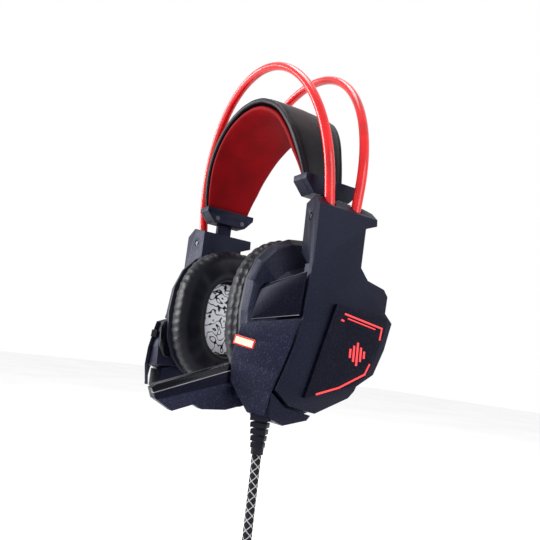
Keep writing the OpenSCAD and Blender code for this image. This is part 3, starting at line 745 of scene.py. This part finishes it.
CABLE_R = 2.5 * MM
CABLE_EXIT = Vector((0.076, -0.0375, -0.0775))
COIL_AT = Vector((0.0835, -0.0225, -0.178))
COIL_R = 27 * MM
COIL_LAYERS = 4
COIL_ROWS = 3
COIL_STEPS = 20
TAIL_X = 0.0711
TAIL_END_Z = -0.227
TAIL_STRAIGHT = 0.01
TAIL_STEPS = 8
TUBE_SIDES = 14


def cable_points():
    """Down from the strain relief, round the coil from its outer layer in, and out to the plug."""
    x, y = CABLE_EXIT.x, CABLE_EXIT.y
    outer = COIL_R + (COIL_LAYERS - 1) * CABLE_R
    points = [CABLE_EXIT.copy()]
    points += [Vector((x, y, z)) for z in (-0.084, -0.09, -0.1, -0.11, -0.12, -0.127)]
    points += [Vector((x, y + 0.0022, -0.1335)), Vector((x, y + 0.0075, -0.1385))]
    for layer in range(COIL_LAYERS):
        for k in range(COIL_ROWS * COIL_STEPS):
            turned = k / COIL_STEPS
            across = turned if layer % 2 == 0 else COIL_ROWS - turned
            settled = min(1.0, turned * 4) if layer else 1.0
            radius = outer - 2 * CABLE_R * (layer - 1 + settled)
            points.append(on_coil(x + across * 2 * CABLE_R, radius, turned))
    inner = COIL_R - (COIL_LAYERS - 1) * CABLE_R
    steps = COIL_STEPS // 4
    for k in range(steps + 1):
        part = k / steps
        points.append(on_coil(x + (TAIL_X - x) * part, inner, part / 4))
    start = points[-1]
    for k in range(1, TAIL_STEPS + 1):
        part = k / TAIL_STEPS
        ease = part * part * (3 - 2 * part)
        points.append(
            Vector(
                (
                    TAIL_X,
                    start.y + (COIL_AT.y - start.y) * ease,
                    start.z + (TAIL_END_Z + TAIL_STRAIGHT - start.z) * part,
                )
            )
        )
    points.append(Vector((TAIL_X, COIL_AT.y, TAIL_END_Z)))
    return points


def on_coil(x, radius, turned):
    angle = 2 * math.pi * turned
    return Vector(
        (x, COIL_AT.y + radius * math.sin(angle), COIL_AT.z + radius * math.cos(angle))
    )


def tube_mesh(name, points, radius):
    """A round tube along points, with its length and its turn as UVs."""
    rings = []
    normal = Vector((1, 0, 0))
    for i, p in enumerate(points):
        ahead = points[min(i + 1, len(points) - 1)] - points[max(i - 1, 0)]
        ahead.normalize()
        normal = (normal - ahead * normal.dot(ahead)).normalized()
        side = ahead.cross(normal)
        turns = [2 * math.pi * k / TUBE_SIDES for k in range(TUBE_SIDES)]
        rings.append(
            [p + radius * (normal * math.cos(a) + side * math.sin(a)) for a in turns]
        )
    mesh = rings_mesh(name, rings)
    far = [0.0]
    for a, b in zip(points, points[1:]):
        far.append(far[-1] + (b - a).length)
    uv = mesh.uv_layers.new(name="along")
    for polygon in mesh.polygons:
        turns = [mesh.loops[n].vertex_index % TUBE_SIDES for n in polygon.loop_indices]
        wraps = 0 in turns and TUBE_SIDES - 1 in turns
        for n, k in zip(polygon.loop_indices, turns):
            i = mesh.loops[n].vertex_index // TUBE_SIDES
            full = TUBE_SIDES if wraps and k == 0 else k
            uv.data[n].uv = (far[i], full / TUBE_SIDES)
    return mesh, far[-1]


def add_cable():
    points = cable_points()
    mesh, length = tube_mesh("cable", points, CABLE_R)
    cable = add_object("cable_look", mesh, "braid_black")
    stand_for(cable, "cable_lead", "cable_coil", "cable_tail")
    rounded_copy("usb_plug_body", 0.8)
    rounded_copy("cable_tie", 0.5)


add_cable()


# ---------------------------------------------------------------- hard shells

# Each shell's edge radius, the sharpest angle that stays smooth, and whether its edges get a
# painted highlight strip
SHELL_EDGES = {
    "yoke_shell": (0.6, 24, False),
    "yoke_cover": (0.4, 24, False),
    "side_panel": (0.4, 24, False),
    "cup_housing": (0.5, 9, False),
    "baffle": (0.6, 24, False),
    "upper_plate": (0.15, 24, True),
    "lower_plate": (0.5, 9, False),
    "clamp_inner": (0.6, 24, False),
    "clamp_outer": (0.6, 24, False),
}


def add_shells():
    for side in ("left", "right"):
        for name, (width, angle, sheen) in SHELL_EDGES.items():
            rounded_copy(f"{side}_{name}", width, angle, sheen)
    rounded_copy("strain_relief", 0.4)
    rounded_copy("mic_boom_cover", 0.5)
    rounded_copy("right_front_inlay", 0.4)


add_shells()

# Creases along the boom's outer face as (y, z) in mm: under the top band, over the lower facet
BAND_CREASE = ((-50, -36.8), (-92, -51.4))
FACET_CREASE = ((-50, -43.5), (-91.5, -55.5))
CREASE_W = 0.45
BOOM_OUT_X = 60
BOOM_FACETS_Y = -53
BAND_SET_BACK = 1.8
FACET_SET_BACK = 1.6
CREASE_SLACK = 0.2
BOOM_SLOTS = ("panel_black", "gloss_black", "textured_black", "painted_edge_highlight")
# The last slot paints a highlight on the strip under the band crease
BAND, FACET, CREASE_HIGHLIGHT = 1, 2, 3


def above_line(p, line):
    """How far a point lies above a (y, z) line, both in mm."""
    (ya, za), (yb, zb) = line
    return p.z / MM - (za + (zb - za) * (p.y / MM - ya) / (yb - ya))


def split_along(build, line, drop=0.0):
    (ya, za), (yb, zb) = line
    along = Vector((0, yb - ya, zb - za))
    bmesh.ops.bisect_plane(
        build,
        geom=build.verts[:] + build.edges[:] + build.faces[:],
        dist=0.001 * MM,
        plane_co=Vector((0, ya, za - drop)) * MM,
        plane_no=along.cross(Vector((1, 0, 0))).normalized(),
    )


def add_boom():
    """The microphone boom's outer half, creased into a top band, a face and a lower facet, with a
    painted highlight strip under the top band.
    """
    build = clean_copy("mic_boom_shell")
    split_along(build, BAND_CREASE)
    split_along(build, BAND_CREASE, CREASE_W)
    split_along(build, FACET_CREASE)
    for vertex in build.verts:
        p = vertex.co.copy()
        if p.x < (BOOM_OUT_X - CREASE_SLACK) * MM or p.y > BOOM_FACETS_Y * MM:
            continue
        if above_line(p, BAND_CREASE) > CREASE_SLACK:
            vertex.co.x -= BAND_SET_BACK * MM
        if above_line(p, FACET_CREASE) < -CREASE_SLACK:
            vertex.co.x -= FACET_SET_BACK * MM
    for face in build.faces:
        centre = face.calc_center_median()
        height = above_line(centre, BAND_CREASE)
        if height > 0:
            face.material_index = BAND
        # The strip just under the band crease gets a painted highlight
        elif height > -CREASE_W and centre.y < BOOM_FACETS_Y * MM:
            face.material_index = CREASE_HIGHLIGHT
        elif above_line(centre, FACET_CREASE) < 0:
            face.material_index = FACET
    mesh = bpy.data.meshes.new("mic_boom_shell_look")
    build.to_mesh(mesh)
    build.free()
    smooth_mesh(mesh)
    piece = add_object("mic_boom_shell_look", mesh, *BOOM_SLOTS)
    round_edges(piece, 0.2, angle=9)
    stand_for(piece, "mic_boom_shell")


add_boom()


WINDOW_BORDER = 1.1


def add_windows():
    """The left light window as a cream face inside a red border; the right one is unlit."""
    for side in ("left", "right"):
        node = side + "_light_window"
        build = clean_copy(node)
        faces = list(build.faces)
        bmesh.ops.inset_individual(build, faces=faces, thickness=WINDOW_BORDER * MM)
        inner = set(faces)
        for face in build.faces:
            face.material_index = 0 if face in inner else 1
        mesh = bpy.data.meshes.new(node + "_look")
        build.to_mesh(mesh)
        build.free()
        lit = side == "left"
        slots = ("window_cream", "window_red") if lit else ("inlay_black", "inlay_black")
        piece = add_object(node + "_look", mesh, *slots)
        round_edges(piece, 0.3)
        stand_for(piece, node)


add_windows()


# ---------------------------------------------------------------- stage

FLOOR_Z = -0.268
FLOOR_HALF = 6.0
AIM = Vector((0, 0, 0.03))

# Each light's name, place, power in watts and width
LIGHTS = (
    ("key", (-0.75, -1.0, 0.3), 25, 0.7),
    ("side", (1.4, 0.5, 0.6), 9, 0.8),
    ("top", (-0.2, -0.1, 1.5), 14, 0.7),
)


def add_stage():
    half = FLOOR_HALF
    mesh = bpy.data.meshes.new("floor")
    corners = [(-half, -half), (half, -half), (half, half), (-half, half)]
    mesh.from_pydata([(x, y, FLOOR_Z) for x, y in corners], [], [(0, 1, 2, 3)])
    floor = bpy.data.objects.new("floor", mesh)
    bpy.context.scene.collection.objects.link(floor)
    material, shader = new_material("floor_pale", Roughness=0.95, Specular_IOR_Level=0.1)
    paper = texture_of(material, "ShaderNodeTexNoise", 3)
    dim, bright = colour(0.9, 0.9, 0.9), colour(0.94, 0.94, 0.94)
    material.node_tree.links.new(
        ramp_between(material, paper.outputs["Fac"], dim, bright),
        shader.inputs["Base Color"],
    )
    mesh.materials.append(material)

    world = bpy.data.worlds.new("studio")
    bpy.context.scene.world = world
    world.use_nodes = True
    world.node_tree.nodes["Background"].inputs["Color"].default_value = (1, 1, 1, 1)
    world.node_tree.nodes["Background"].inputs["Strength"].default_value = 1.0
    bpy.context.scene.view_settings.view_transform = "Standard"

    for name, at, energy, size in LIGHTS:
        data = bpy.data.lights.new(name, "AREA")
        data.energy = energy
        data.size = size
        light = bpy.data.objects.new(name, data)
        bpy.context.scene.collection.objects.link(light)
        light.location = at
        light.rotation_euler = (AIM - Vector(at)).to_track_quat("-Z", "Y").to_euler()


add_stage()
